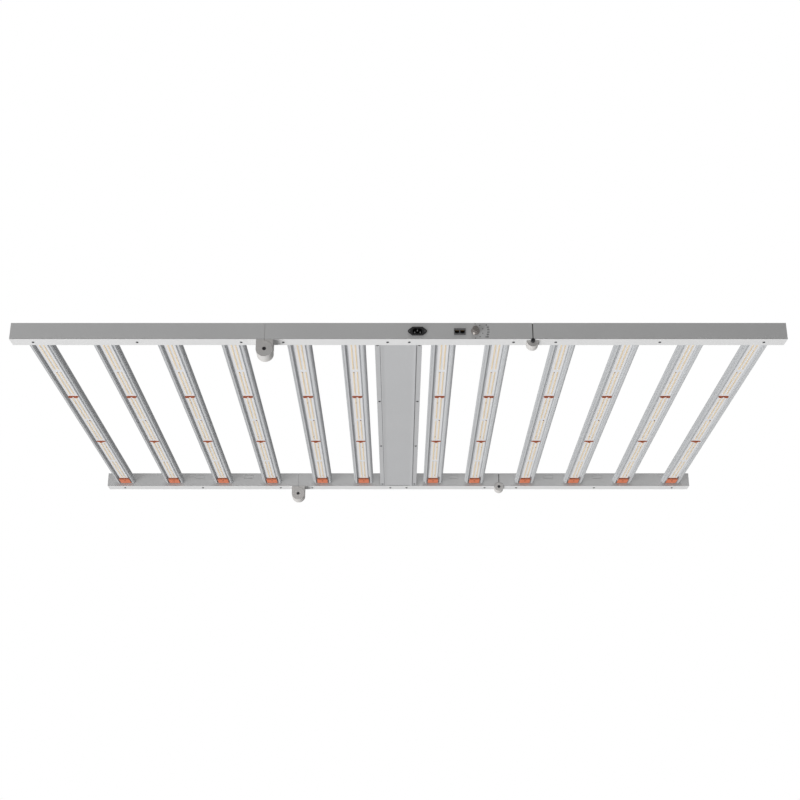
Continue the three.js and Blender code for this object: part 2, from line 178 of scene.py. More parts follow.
class GrowLightStage(bpy.types.PropertyGroup):
    """Camera, lamps and floor."""

    distance: bpy.props.FloatProperty(
        name="Camera distance", description="From the front beam's outer face, along Y",
        default=3.042, min=1.0, max=10.0, unit="LENGTH")
    below: bpy.props.FloatProperty(
        name="Camera drop", description="Below the underside of the beams",
        default=1.3827, min=0.0, max=5.0, unit="LENGTH")
    lens: bpy.props.FloatProperty(
        name="Lens", description="Focal length on a 36 mm sensor", default=58.5, min=10, max=200)
    pitch: bpy.props.FloatProperty(
        name="Camera pitch", description="Upward tilt of the camera",
        default=radians(21.763), subtype="ANGLE")
    floor: bpy.props.FloatProperty(
        name="Floor drop", description="From the tops of the beams down to the floor",
        default=2.1, min=1.5, max=5.0, unit="LENGTH")


# ---------------------------------------------------------------- node helpers


def node(tree, kind, **sockets):
    made = tree.nodes.new(kind)
    for name, value in sockets.items():
        made.inputs[name.replace("_", " ")].default_value = value
    return made


def surface(name, color, roughness, metallic=0.0, vary=0.06, grain=(60, 60, 60), bump=0.1,
            bump_scale=1800, coat=0.0):
    """A procedural finish: slow colour variation, grain in the roughness and a fine bump."""
    mat = bpy.data.materials.new(name)
    mat.use_nodes = True
    tree = mat.node_tree
    shader = tree.nodes["Principled BSDF"]
    shader.inputs["Metallic"].default_value = metallic
    shader.inputs["Coat Weight"].default_value = coat
    link = tree.links.new
    place = node(tree, "ShaderNodeTexCoord")
    mapping = node(tree, "ShaderNodeMapping")
    mapping.inputs["Scale"].default_value = grain
    link(place.outputs["Object"], mapping.inputs["Vector"])
    patches = node(tree, "ShaderNodeTexNoise", Scale=1.0, Detail=4.0, Roughness=0.6)
    link(mapping.outputs["Vector"], patches.inputs["Vector"])
    shade = tree.nodes.new("ShaderNodeMix")
    shade.data_type = "RGBA"
    dark = [c * (1 - vary) for c in color]
    light = [min(1, c * (1 + vary)) for c in color]
    shade.inputs[6].default_value = (*dark, 1)
    shade.inputs[7].default_value = (*light, 1)
    link(patches.outputs["Fac"], shade.inputs[0])
    link(shade.outputs[2], shader.inputs["Base Color"])
    rough = node(tree, "ShaderNodeMapRange")
    rough.inputs["To Min"].default_value = roughness * 0.85
    rough.inputs["To Max"].default_value = min(1, roughness * 1.15)
    link(patches.outputs["Fac"], rough.inputs["Value"])
    link(rough.outputs["Result"], shader.inputs["Roughness"])
    fine = node(tree, "ShaderNodeTexNoise", Scale=bump_scale, Detail=2.0)
    link(place.outputs["Object"], fine.inputs["Vector"])
    relief = node(tree, "ShaderNodeBump", Strength=bump, Distance=0.0001)
    link(fine.outputs["Fac"], relief.inputs["Height"])
    link(relief.outputs["Normal"], shader.inputs["Normal"])
    return mat


def material(name):
    """The finish of that name, made once."""
    made = bpy.data.materials.get(f"{name}_finish")
    if made:
        return made
    paint = bpy.context.scene.growlight_paint
    makers = {
        "beam_paint": lambda n: surface(n, paint.beam, 0.5, 0.0, 0.03, (9, 9, 9), 0.12, 2600),
        "sheet_paint": lambda n: surface(n, paint.sheet, 0.5, 0.0, 0.03, (9, 9, 9), 0.12, 2600),
        "bar_alloy": lambda n: surface(n, paint.alloy, 0.42, 0.25, 0.05, (420, 1.5, 420), 0.08, 900),
        "board_white": lambda n: surface(n, paint.board, 0.45, 0.0, 0.03, (90, 90, 90), 0.05, 1500),
        "phosphor": lambda n: surface(n, paint.phosphor, 0.35, 0.0, 0.08, (300, 300, 300), 0.03, 3000),
        "led_white": lambda n: surface(n, (0.72, 0.7, 0.66), 0.4, 0.0, 0.03, (300, 300, 300), 0.02, 3000),
        "orange_plastic": lambda n: surface(n, paint.clip, 0.42, 0.0, 0.1, (160, 160, 160), 0.1, 2200),
        # painted shade: the end covers' orange plastic made darker for the upright clips and cover lips
        "shaded_orange_plastic": lambda n: surface(n, (0.42, 0.1, 0.03), 0.42, 0.0, 0.1, (160, 160, 160), 0.1, 2200),
        "hinge_alloy": lambda n: surface(n, (0.6, 0.585, 0.57), 0.45, 0.1, 0.07, (60, 500, 60), 0.1, 1500),
        "bolt_steel": lambda n: surface(n, (0.1, 0.1, 0.105), 0.35, 0.8, 0.15, (300, 300, 300), 0.1, 2500),
        "screw_steel": lambda n: surface(n, (0.1, 0.1, 0.105), 0.35, 0.6, 0.15, (400, 400, 400), 0.1, 2500),
        "board_screw": lambda n: surface(n, (0.14, 0.03, 0.015), 0.45, 0.2, 0.15, (400, 400, 400), 0.1, 2500),
        "black_plastic": lambda n: surface(
            n, (0.02, 0.02, 0.022), 0.45, 0.0, 0.2, (200, 200, 200), 0.2, 1800),
        "grey_plastic": lambda n: surface(n, (0.14, 0.14, 0.145), 0.5, 0.0, 0.12, (200, 200, 200), 0.2, 1800),
        "contact_gold": lambda n: surface(n, (0.7, 0.48, 0.2), 0.3, 1.0, 0.08, (500, 500, 500), 0.05, 2500),
        "pin_steel": lambda n: surface(n, (0.55, 0.55, 0.56), 0.25, 1.0, 0.08, (500, 500, 500), 0.05, 2500),
        "knob_metal": lambda n: surface(n, (0.44, 0.41, 0.39), 0.24, 0.85, 0.08, (30, 900, 30), 0.1, 2500),
        "knob_disc": lambda n: surface(n, (0.15, 0.14, 0.13), 0.4, 0.3, 0.12, (900, 60, 900), 0.15, 2500),
        "driver_case": lambda n: surface(n, (0.28, 0.285, 0.29), 0.42, 0.6, 0.08, (40, 3, 40), 0.1, 1800),
        "print_ink": lambda n: surface(n, (0.04, 0.04, 0.042), 0.6, 0.0, 0.1, (400, 400, 400), 0.05, 2500),
    }
    return makers[name](f"{name}_finish")


SLOT_FINISH = {
    "beam_paint": "beam_paint", "sheet_paint": "sheet_paint", "bar_alloy": "bar_alloy",
    "board_white": "board_white", "driver_case": "driver_case", "hinge_alloy": "hinge_alloy",
    "bolt_steel": "bolt_steel", "black_plastic": "black_plastic", "grey_plastic": "grey_plastic",
    "knob_metal": "knob_metal",
}


# ---------------------------------------------------------------- mesh helpers


def smooth(mesh, angle=radians(35)):
    mesh.shade_smooth()
    mesh.set_sharp_from_angle(angle=angle)


def round_edges(work, width, segments, angle):
    """The object's mesh with its edges rounded and its flat faces shaded flat."""
    work.data.shade_smooth()
    bevel = work.modifiers.new("edges", "BEVEL")
    bevel.width = width
    bevel.segments = segments
    bevel.limit_method = "ANGLE"
    bevel.angle_limit = angle
    even = work.modifiers.new("normals", "WEIGHTED_NORMAL")
    even.weight = 100
    even.keep_sharp = False
    return evaluated(work)


def put(name, mesh, finish, body):
    """A finished piece, riding on its body."""
    mesh.name = name
    piece = bpy.data.objects.new(name, mesh)
    bpy.context.scene.collection.objects.link(piece)
    if finish:
        mesh.materials.clear()
        mesh.materials.append(material(finish))
    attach(piece, body)
    return piece


def evaluated(piece):
    """The piece's mesh with its modifiers applied."""
    graph = bpy.context.evaluated_depsgraph_get()
    return bpy.data.meshes.new_from_object(piece.evaluated_get(graph), depsgraph=graph)


def rounded(name, width, slot, segments=2):
    """Stands for a CAD node, with its edges rounded."""
    source = frame["nodes"][name]
    bm = bmesh.new()
    bm.from_mesh(source.data)
    bmesh.ops.remove_doubles(bm, verts=bm.verts, dist=1e-6)
    bmesh.ops.dissolve_limit(bm, angle_limit=radians(1), verts=bm.verts, edges=bm.edges)
    mesh = bpy.data.meshes.new(name)
    bm.to_mesh(mesh)
    bm.free()
    work = bpy.data.objects.new(f"{name}.work", mesh)
    bpy.context.scene.collection.objects.link(work)
    done = round_edges(work, width, segments, radians(35))
    bpy.data.objects.remove(work)
    piece = put(f"{name}_shell", done, SLOT_FINISH[slot], BODY_OF[name])
    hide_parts(name)
    return piece


def lathe(profile, turns, axis="Z"):
    """A closed solid of revolution from [radius, height] points that start and end on the axis."""
    bm = bmesh.new()
    rings = []
    for radius, height in profile:
        if radius < 1e-7:
            rings.append([bm.verts.new((0, 0, height))])
        else:
            rings.append([bm.verts.new((radius * cos(2 * pi * i / turns),
                                        radius * sin(2 * pi * i / turns), height))
                          for i in range(turns)])
    for low, high in zip(rings, rings[1:]):
        for i in range(turns):
            j = (i + 1) % turns
            corners = [low[i % len(low)], low[j % len(low)], high[j % len(high)], high[i % len(high)]]
            unique = list(dict.fromkeys(corners))
            if len(unique) > 2:
                bm.faces.new(unique)
    bmesh.ops.recalc_face_normals(bm, faces=bm.faces)
    if axis == "Y":
        bmesh.ops.rotate(bm, verts=bm.verts, cent=(0, 0, 0), matrix=Matrix.Rotation(pi / 2, 3, "X"))
    mesh = bpy.data.meshes.new("lathe")
    bm.to_mesh(mesh)
    bm.free()
    return mesh


def prism(outline, low, high):
    """A closed solid: an outline of [x, y] points from z = low to z = high."""
    bm = bmesh.new()
    bottom = [bm.verts.new((x, y, low)) for x, y in outline]
    top = [bm.verts.new((x, y, high)) for x, y in outline]
    bm.faces.new(bottom)
    bm.faces.new(top)
    for i in range(len(outline)):
        j = (i + 1) % len(outline)
        bm.faces.new((bottom[i], bottom[j], top[j], top[i]))
    bmesh.ops.recalc_face_normals(bm, faces=bm.faces)
    mesh = bpy.data.meshes.new("prism")
    bm.to_mesh(mesh)
    bm.free()
    return mesh


def softened(mesh, width, segments=2, angle=radians(30)):
    """The mesh with its edges rounded."""
    work = bpy.data.objects.new("work", mesh)
    bpy.context.scene.collection.objects.link(work)
    done = round_edges(work, width, segments, angle)
    bpy.data.objects.remove(work)
    return done


def moved(mesh, matrix):
    mesh.transform(matrix)
    return mesh


def merged(meshes):
    """Several meshes as one, keeping their materials."""
    bm = bmesh.new()
    for mesh in meshes:
        bm.from_mesh(mesh)
    total = bpy.data.meshes.new("merged")
    bm.to_mesh(total)
    bm.free()
    smooth(total)
    return total


# ---------------------------------------------------------------- repeats, by Geometry Nodes


def scatter_tree():
    """Copies of a template along a short line from each of the given points."""
    name = "Repeat along a line"
    if name in bpy.data.node_groups:
        return bpy.data.node_groups[name]
    tree = bpy.data.node_groups.new(name, "GeometryNodeTree")
    face = tree.interface
    face.new_socket("Geometry", in_out="INPUT", socket_type="NodeSocketGeometry")
    face.new_socket("Template", in_out="INPUT", socket_type="NodeSocketObject")
    face.new_socket("Count", in_out="INPUT", socket_type="NodeSocketInt").default_value = 1
    face.new_socket("Spacing", in_out="INPUT", socket_type="NodeSocketVector")
    face.new_socket("Finish", in_out="INPUT", socket_type="NodeSocketMaterial")
    face.new_socket("Geometry", in_out="OUTPUT", socket_type="NodeSocketGeometry")
    new, link = tree.nodes.new, tree.links.new
    given, result = new("NodeGroupInput"), new("NodeGroupOutput")
    line = new("GeometryNodeMeshLine")
    link(given.outputs["Count"], line.inputs["Count"])
    link(given.outputs["Spacing"], line.inputs["Offset"])
    lines = new("GeometryNodeInstanceOnPoints")
    link(given.outputs["Geometry"], lines.inputs["Points"])
    link(line.outputs["Mesh"], lines.inputs["Instance"])
    spots = new("GeometryNodeRealizeInstances")
    link(lines.outputs["Instances"], spots.inputs["Geometry"])
    template = new("GeometryNodeObjectInfo")
    link(given.outputs["Template"], template.inputs["Object"])
    copies = new("GeometryNodeInstanceOnPoints")
    link(spots.outputs["Geometry"], copies.inputs["Points"])
    link(template.outputs["Geometry"], copies.inputs["Instance"])
    real = new("GeometryNodeRealizeInstances")
    link(copies.outputs["Instances"], real.inputs["Geometry"])
    finish = new("GeometryNodeSetMaterial")
    link(real.outputs["Geometry"], finish.inputs["Geometry"])
    link(given.outputs["Finish"], finish.inputs["Material"])
    link(finish.outputs["Geometry"], result.inputs["Geometry"])
    return tree


def scatter(name, template_mesh, starts, finish, slot, body, count=1, spacing=(0, 0, 0)):
    """One piece holding a copy of the template at every place of every line."""
    template = bpy.data.objects.new(f"{name}.template", template_mesh)
    bpy.context.scene.collection.objects.link(template)
    points = bpy.data.meshes.new(name)
    points.from_pydata([tuple(p) for p in starts], [], [])
    work = bpy.data.objects.new(f"{name}.work", points)
    bpy.context.scene.collection.objects.link(work)
    tree = scatter_tree()
    mod = work.modifiers.new("repeat", "NODES")
    mod.node_group = tree
    values = {"Template": template, "Count": count, "Spacing": spacing, "Finish": material(finish)}
    for item in tree.interface.items_tree:
        if item.in_out == "INPUT" and item.name in values:
            mod[item.identifier] = values[item.name]
    done = evaluated(work)
    bpy.data.objects.remove(work)
    bpy.data.objects.remove(template)
    smooth(done)
    return put(name, done, finish, body)


# ---------------------------------------------------------------- pieces


class GROWLIGHT_OT_metalwork(bpy.types.Operator):
    """Rounded edges and finishes for the beams, housing, hinges and controls"""

    bl_idname = "growlight.metalwork"
    bl_label = "Metalwork"

    def execute(self, context):
        edge = context.scene.growlight_hardware.edge
        slots = {s["node"]: s["material_slot"] for s in frame["record"]["subparts"]}
        widths = {
            "beam_paint": edge, "sheet_paint": edge * 0.8, "hinge_alloy": edge * 0.7,
            "bolt_steel": edge * 0.5, "black_plastic": edge * 0.4, "grey_plastic": edge * 0.3,
            "knob_metal": edge * 0.4,
        }
        hidden = ("dimmer_potentiometer", "dimmer_shaft")
        for name, obj in frame["nodes"].items():
            slot = slots[name]
            width = widths.get(slot)
            if width and name not in hidden:
                rounded(name, width * (0.5 if "bottom_plate" in name else 1), slot)
            else:
                obj.data.materials.clear()
                obj.data.materials.append(material(SLOT_FINISH[slot]))
        return {"FINISHED"}


class GROWLIGHT_OT_bars(bpy.types.Operator):
    """Ribbed extrusions of the light bars"""

    bl_idname = "growlight.bars"
    bl_label = "Light bars"

    def outline(self, bars):
        """Half of the cross section, from the board's seat outwards and back over the fins."""
        seat, floor, web, tip = 0.0143, 0.0069, 0.0115, 0.0127
        half = [(0, floor), (seat - 0.0008, floor), (seat - 0.0008, 0.0055), (seat + 0.0004, 0.0055),
                (seat + 0.0008, bars.groove - 0.0008), (seat + 0.0016, bars.groove),
                (bars.lip_inner - 0.0018, bars.groove), (bars.lip_inner - 0.001, bars.groove - 0.0008),
                (bars.lip_inner - 0.0002, 0.0004), (bars.lip_inner, 0), (bars.lip_outer, 0)]
        bulge = bars.half - bars.lip_outer
        steps = bars.ribs * 6
        for i in range(1, steps + 1):
            angle = pi / 2 * i / steps
            sunk = bars.rib_deep * abs(sin(pi * i / 6)) ** 0.7 if i % 6 else 0
            sunk = bars.rib_deep - sunk if i < steps else 0
            half.append((bars.lip_outer + (bulge - sunk) * sin(angle) + sunk * 0.2,
                         bars.side_high - (bars.side_high - sunk) * cos(angle)))
        first = bars.half - 0.0027
        half += [(bars.half, tip), (first + 0.0008, tip)]
        for i in range(bars.fins):
            x = first - i * (first - 0.003) / (bars.fins - 1)
            top = 0.012 + 0.012 * sqrt(1 - (x / 0.033) ** 2)
            foot = [] if i == 0 else [(x + 0.0008, web)]
            half += [*foot, (x + 0.0008, top - 0.0005), (x + 0.0004, top), (x - 0.0004, top),
                     (x - 0.0008, top - 0.0005), (x - 0.0008, web)]
        return half + [(-x, z) for x, z in reversed(half) if x > 0]

    def execute(self, context):
        section = self.outline(context.scene.growlight_bars)
        for name in BARS:
            low, high = (Vector(c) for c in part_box(name))
            middle = (low.x + high.x) / 2
            mesh = prism([(x, -z) for x, z in section], low.y, high.y)
            mesh.transform(Matrix(((1, 0, 0, middle), (0, 0, 1, 0), (0, -1, 0, low.z), (0, 0, 0, 1))))
            smooth(mesh, radians(28))
            piece = put(f"{name}_extrusion", mesh, "bar_alloy", BODY_OF[name])
            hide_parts(name)
        return {"FINISHED"}


class GROWLIGHT_OT_seams(bpy.types.Operator):
    """Dark strips of painted shade in the wide seam and along the driver cover, and plugs of the wiring holes
    """

    bl_idname = "growlight.seams"
    bl_label = "Seams and plugs"

    def execute(self, context):
        self.shade_the_seam()
        self.contacts()
        self.shade_cover_ridges()
        self.plugs()
        return {"FINISHED"}

    def shade_the_seam(self):
        """A dark L in the gap of the right fold of each beam, clear of the knuckles: painted shade for the
        hollow beam behind the gap.
        """
        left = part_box("front_beam_centre")[1][0] + 0.0003
        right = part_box("front_beam_right")[0][0] - 0.0006
        side = [(0.001, -0.0412), (0.007, -0.0412), (0.007, -0.0245), (0.0365, -0.0245),
                (0.0365, -0.0007), (0.001, -0.0007)]
        meshes = []
        for beam, way in (("front", 1), ("rear", -1)):
            low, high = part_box(f"{beam}_beam_centre")
            face = low[1] if way == 1 else high[1]
            mesh = prism(side if way == 1 else [(-y, z) for y, z in side], left, right)
            turn = Matrix(((0, 0, 1, 0), (1, 0, 0, face), (0, 1, 0, 0), (0, 0, 0, 1)))
            meshes.append(moved(mesh, turn))
        # painted shade: a black strip so the seam reads dark instead of showing the backdrop
        put("seam_gaskets", merged(meshes), "black_plastic", "centre_section")

    def contacts(self):
        """Bright ends on the inlet's blades, and contacts on the upper wall of each dimming port."""
        self.blade_tips()
        self.port_contacts()

    def blade_tips(self):
        """Caps on the ends of the two lower blades and the upper earth blade."""
        low, high = (Vector(c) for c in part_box("power_inlet"))
        middle = (low + high) / 2
        half_wide, half_tall, thick = 0.0012, 0.0021, 0.0006
        blade_start = low.y + 0.0052
        outline = [(-half_wide, -half_tall), (half_wide, -half_tall), (half_wide, half_tall),
                   (-half_wide, half_tall)]
        upright = Matrix.Rotation(pi / 2, 4, "X")
        meshes = []
        for x, z in ((-0.007, -0.0022), (0.0, 0.0032), (0.007, -0.0022)):
            place = Matrix.Translation((middle.x + x, blade_start, middle.z + z))
            meshes.append(moved(softened(prism(outline, 0, thick), 0.0002), place @ upright))
        put("inlet_blade_tips", merged(meshes), "pin_steel", "centre_section")

    def port_contacts(self):
        """Eight spring contacts in each port, let into its upper wall."""
        low, high = (Vector(c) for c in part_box("dimming_ports"))
        middle = (low + high) / 2
        per_port, pitch, half_wide, port_side = 8, 0.00115, 0.0004, 0.007
        near, far = low.y + 0.0015, low.y + 0.009
        meshes = []
        for side in (-1, 1):
            for i in range(per_port):
                x = middle.x + side * port_side + (i - (per_port - 1) / 2) * pitch
                strip = [(x - half_wide, near), (x + half_wide, near), (x + half_wide, far),
                         (x - half_wide, far)]
                meshes.append(prism(strip, middle.z + 0.0032, middle.z + 0.0043))
        put("port_contacts", merged(meshes), "contact_gold", "centre_section")

    def shade_cover_ridges(self):
        """Thin dark strips of painted shade along the pressed ridges of the driver cover."""
        low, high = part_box("driver_cover")
        flange = low[2] + 0.002
        meshes = []
        for side in (-1, 1):
            x = side * 0.0479
            meshes.append(prism([(x - 0.0008, low[1] + 0.001), (x + 0.0008, low[1] + 0.001),
                                 (x + 0.0008, high[1] - 0.001), (x - 0.0008, high[1] - 0.001)],
                                flange - 0.00025, flange + 0.0002))
        # painted shade: dark strips for the shadow and gaps beside the cover's ridges
        put("cover_joint_lines", merged(meshes), "grey_plastic", "centre_section")

    def plugs(self):
        """Oblong plugs in the recesses of the rear beam's inner face."""
        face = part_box("rear_beam_centre")[0][1]
        for section, places in PLUGS.items():
            meshes = []
            for x in places:
                outline = []
                for side, start in ((1, -pi / 2), (-1, pi / 2)):
                    outline += [(side * 0.011 + 0.0052 * cos(start + pi * i / 10),
                                 0.0052 * sin(start + pi * i / 10)) for i in range(11)]
                plug = softened(prism(outline, -0.0004, 0.0009), 0.0003)
                place = Matrix.Translation((x, face, -0.013))
                meshes.append(moved(plug, place @ Matrix.Rotation(pi / 2, 4, "X")))
            body = {"left": "left_wing", "centre": "centre_section", "right": "right_wing"}[section]
            put(f"rear_plugs_{section}", merged(meshes), "beam_paint", body)


def board_places(body):
    """(x, z of the LED face, first y, last y) for each LED board of a body."""
    places = []
    for name in BOARDS:
        if BODY_OF[name] == body:
            low, high = (Vector(c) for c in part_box(name))
            places.append(((low.x + high.x) / 2, low.z, low.y, high.y))
    return places


def board_spans(leds, first, last):
    """The first and last y of each of the boards of one bar."""
    return ((leds.front_joint - leds.board_long, leds.front_joint), (leds.front_joint, leds.rear_joint),
            (leds.rear_joint, min(last, leds.rear_joint + leds.board_long)))


class GROWLIGHT_OT_leds(bpy.types.Operator):
    """Two rows of LEDs on every board"""

    bl_idname = "growlight.leds"
    bl_label = "LEDs"

    def rim(self, wide, long, cut):
        """Half of an outline with cut corners, and its mirror image."""
        half = [(wide / 2, -long / 2 + cut), (wide / 2, long / 2 - cut), (wide / 2 - cut, long / 2),
                (-wide / 2 + cut, long / 2)]
        return half + [(-x, -y) for x, y in half]

    def package(self, leds):
        wide, long, high = leds.chip
        return prism(self.rim(wide, long, wide * 0.08), -high, 0)

    def phosphor(self, leds):
        wide, long, high = leds.chip
        mesh = prism(self.rim(wide * 0.86, long * 0.86, wide * 0.14), -high * 1.06, -high * 0.8)
        bm = bmesh.new()
        bm.from_mesh(mesh)
        face = min(bm.faces, key=lambda f: f.calc_center_median().z)
        bmesh.ops.inset_region(bm, faces=[face], thickness=wide * 0.12, depth=high * 0.1)
        bm.to_mesh(mesh)
        bm.free()
        return mesh

    def execute(self, context):
        leds = context.scene.growlight_leds
        run = (leds.per_group - 1) * leds.pitch
        for body in LIT_BODIES:
            starts = []
            for x, z, first, last in board_places(body):
                for low, high in board_spans(leds, first, last):
                    centre = (low + high) / 2
                    for side in (-1, 1):
                        for start in (centre - leds.middle_gap / 2 - run, centre + leds.middle_gap / 2):
                            starts.append((x + side * leds.row, start, z - 0.00005))
            line = {"count": leds.per_group, "spacing": (0, leds.pitch, 0)}
            scatter(f"led_packages_{body}", self.package(leds), starts, "led_white", "board_white",
                    body, **line)
            scatter(f"led_phosphor_{body}", self.phosphor(leds), starts, "phosphor", "led_phosphor",
                    body, **line)
        return {"FINISHED"}


class GROWLIGHT_OT_clips(bpy.types.Operator):
    """Orange clips where boards meet, and the end cover of each bar"""

    bl_idname = "growlight.clips"
    bl_label = "Clips and end covers"

    def notched(self, wide, high):
        """Lower edge with two soft lobes and a notch between them."""
        return [(-wide / 2, 0), (-wide * 0.49, -high * 0.5), (-wide * 0.42, -high * 0.88),
                (-wide * 0.28, -high), (-wide * 0.12, -high * 0.95), (-wide * 0.05, -high * 0.55),
                (wide * 0.05, -high * 0.55), (wide * 0.12, -high * 0.95), (wide * 0.28, -high),
                (wide * 0.42, -high * 0.88), (wide * 0.49, -high * 0.5), (wide / 2, 0)]

    def pointed(self, wide, high):
        """Lower edge that falls to a blunt point in the middle."""
        return [(-wide / 2, 0), (-wide / 2, -high * 0.4), (-wide * 0.22, -high * 0.62),
                (-wide * 0.07, -high * 1.1), (wide * 0.07, -high * 1.1), (wide * 0.22, -high * 0.62),
                (wide / 2, -high * 0.4), (wide / 2, 0)]

    def clip(self, leds, outline):
        """An upright plate on a thin foot that laps both boards."""
        wide, long, high = leds.clip_size
        plate = moved(prism(outline(wide, high), -long / 2, long / 2), Matrix.Rotation(pi / 2, 4, "X"))
        foot = prism([(-wide * 0.4, -long * 1.2), (wide * 0.4, -long * 1.2), (wide * 0.4, long * 1.2),
                      (-wide * 0.4, long * 1.2)], -high * 0.14, 0)
        return merged([softened(plate, 0.0004), softened(foot, 0.0002)])

    def cover(self, leds):
        wide, long, high = leds.cover_size
        outline = [(-wide * 0.42, 0), (-wide * 0.46, -high * 0.5), (-wide * 0.5, -high * 0.8),
                   (-wide * 0.48, -high), (wide * 0.48, -high), (wide * 0.5, -high * 0.8),
                   (wide * 0.46, -high * 0.5), (wide * 0.42, 0)]
        mesh = moved(prism(outline, -long, 0), Matrix.Rotation(pi / 2, 4, "X"))
        return softened(mesh, 0.0006)

    def lip(self, leds):
        """The upright front edge of an end cover, in orange darkened as painted shade."""
        wide, _, high = leds.cover_size
        outline = [(-wide * 0.44, 0), (-wide * 0.47, -high * 0.6), (-wide * 0.46, -high * 1.04),
                   (wide * 0.46, -high * 1.04), (wide * 0.47, -high * 0.6), (wide * 0.44, 0)]
        return softened(moved(prism(outline, 0, 0.0022), Matrix.Rotation(pi / 2, 4, "X")), 0.0003)

    def execute(self, context):
        leds = context.scene.growlight_leds
        for body in LIT_BODIES:
            fronts, rears, ends, screws = [], [], [], []
            for x, z, _, last in board_places(body):
                fronts.append((x, leds.front_joint, z - 0.0001))
                rears.append((x, leds.rear_joint, z - 0.0001))
                ends.append((x, last - leds.cover_size[1], z - 0.0001))
                screws.append((x, last - leds.cover_size[1] * 0.62, z - leds.cover_size[2]))
            # the clips and the covers' front lips take the orange plastic darkened as painted shade
            deep = ("shaded_orange_plastic", "orange_plastic", body)
            scatter(f"front_clips_{body}", self.clip(leds, self.notched), fronts, *deep)
            scatter(f"rear_clips_{body}", self.clip(leds, self.pointed), rears, *deep)
            scatter(f"end_covers_{body}", self.cover(leds), ends, "orange_plastic", "orange_plastic", body)
            scatter(f"end_cover_lips_{body}", self.lip(leds), ends, *deep)
            scatter(f"end_cover_screws_{body}", screw_head(0.0028, 0.0012), screws, "board_screw",
                    "screw_steel", body)
        return {"FINISHED"}


def screw_head(radius, high, facing="Z"):
    """A pan head with a cross recess, standing out along -Z, or along -Y."""
    dome = [(radius, 0), (radius, -high * 0.35), (radius * 0.93, -high * 0.6), (radius * 0.75, -high * 0.85),
            (radius * 0.5, -high), (0, -high)]
    mesh = lathe([(0, 0), *dome], 20)
    arm, deep = radius * 0.55, high * 0.5
    half = radius * 0.12
    cross = [(half, half), (arm, half), (arm, -half), (half, -half), (half, -arm), (-half, -arm),
             (-half, -half), (-arm, -half), (-arm, half), (-half, half), (-half, arm), (half, arm)]
    tool = bpy.data.objects.new("tool", prism(cross, -high - deep, -high + deep))
    work = bpy.data.objects.new("work", mesh)
    for obj in (tool, work):
        bpy.context.scene.collection.objects.link(obj)
    boolean = work.modifiers.new("cross", "BOOLEAN")
    boolean.operation = "DIFFERENCE"
    boolean.solver = "EXACT"
    boolean.object = tool
    done = evaluated(work)
    bpy.data.objects.remove(work)
    bpy.data.objects.remove(tool)
    if facing == "Y":
        done.transform(Matrix.Rotation(-pi / 2, 4, "X"))
    smooth(done)
    return done


class GROWLIGHT_OT_screws(bpy.types.Operator):
    """Screws of the bottom plates, the driver cover, the boards and the inlet"""

    bl_idname = "growlight.screws"
    bl_label = "Screws"

    def execute(self, context):
        hardware = context.scene.growlight_hardware
        head = (hardware.screw_radius, hardware.screw_high)
        rows = {"centre": (0.028, 0.297), "left": (0.406, 0.6746, 0.943), "right": (0.406, 0.6746, 0.943)}
        for section, body in (("centre", "centre_section"), ("left", "left_wing"), ("right", "right_wing")):
            spots = []
            sides = {"centre": (-1, 1), "left": (-1,), "right": (1,)}[section]
            for beam in ("front", "rear"):
                low, high = (Vector(c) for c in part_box(f"{beam}_bottom_plate_{section}"))
                y = (low.y + high.y) / 2
                spots += [(side * x, y, low.z) for side in sides for x in rows[section]]
            scatter(f"plate_screws_{section}", screw_head(*head), spots, "screw_steel", "screw_steel", body)
        self.cover(context, head)
        self.boards(context)
        self.inlet()
        return {"FINISHED"}

    def cover(self, context, head):
        low, high = (Vector(c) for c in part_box("driver_cover"))
        x = high.x - 0.007
        flange = low.z + 0.002
        places = (-0.585, -0.19, 0.19, 0.575)
        spots = [(side * x, y, flange) for side in (-1, 1) for y in places]
        scatter("cover_screws", screw_head(*head), spots, "screw_steel", "screw_steel", "centre_section")

    def boards(self, context):
        leds = context.scene.growlight_leds
        places = (((0.012, -1),), ((-0.138, -1), (0.006, 1), (0.148, -1)), ((-0.132, 1), (0.148, 1)))
        for body in LIT_BODIES:
            spots = []
            for x, z, first, last in board_places(body):
                for (low, high), offsets in zip(board_spans(leds, first, last), places):
                    spots += [(x + side * 0.0045, (low + high) / 2 + along, z) for along, side in offsets]
            scatter(f"board_screws_{body}", screw_head(0.0022, 0.0013), spots, "board_screw",
                    "screw_steel", body)

    def inlet(self):
        low, high = (Vector(c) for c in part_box("power_inlet"))
        z = (low.z + high.z) / 2
        spots = [((low.x + high.x) / 2 + side * 0.02, low.y, z) for side in (-1, 1)]
        scatter("inlet_screws", screw_head(0.0027, 0.0012, "Y"), spots, "screw_steel", "screw_steel",
                "centre_section")


